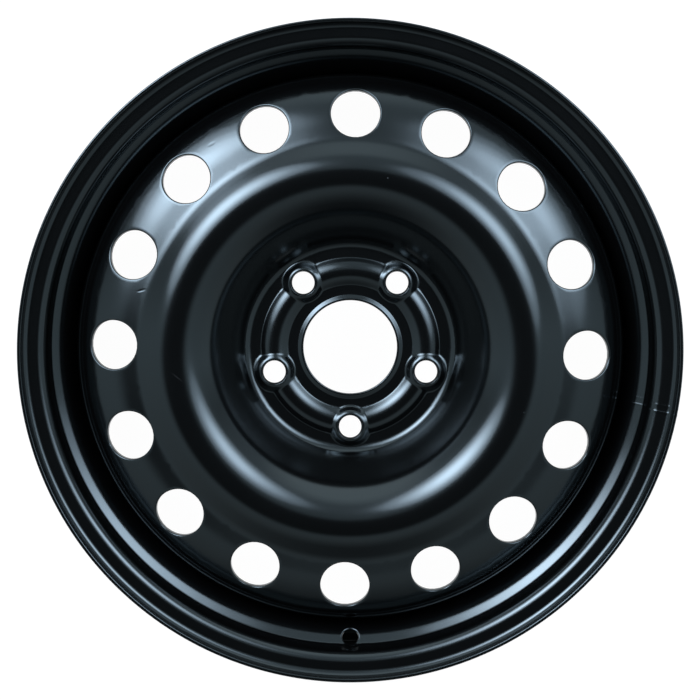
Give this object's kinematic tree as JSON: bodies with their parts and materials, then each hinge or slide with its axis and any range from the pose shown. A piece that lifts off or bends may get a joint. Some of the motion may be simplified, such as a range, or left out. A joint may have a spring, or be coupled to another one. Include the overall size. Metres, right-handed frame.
{
  "type": "steel wheel rim",
  "caption": "Pressed-steel car wheel: dished disc with round vent holes, raised nut seats and a collared hub bore, welded into a drop-centre rim with a valve hole.",
  "frame": {"origin": "on the axle line, in the middle of the rim's width, so the hub face lies at the wheel's offset", "axes": "+Z along the axle line, out of the wheel's front; the valve hole and one nut hole lie towards -Y. The wheel lies on its back flange."},
  "size_m": [0.4712, 0.471, 0.2018],
  "materials": {
    "black_paint": "satin black dip coat over steel"
  },
  "bodies": {
    "root": {"rim": "black_paint", "disc": "black_paint", "weld_beads": "black_paint"}
  },
  "joints": []
}
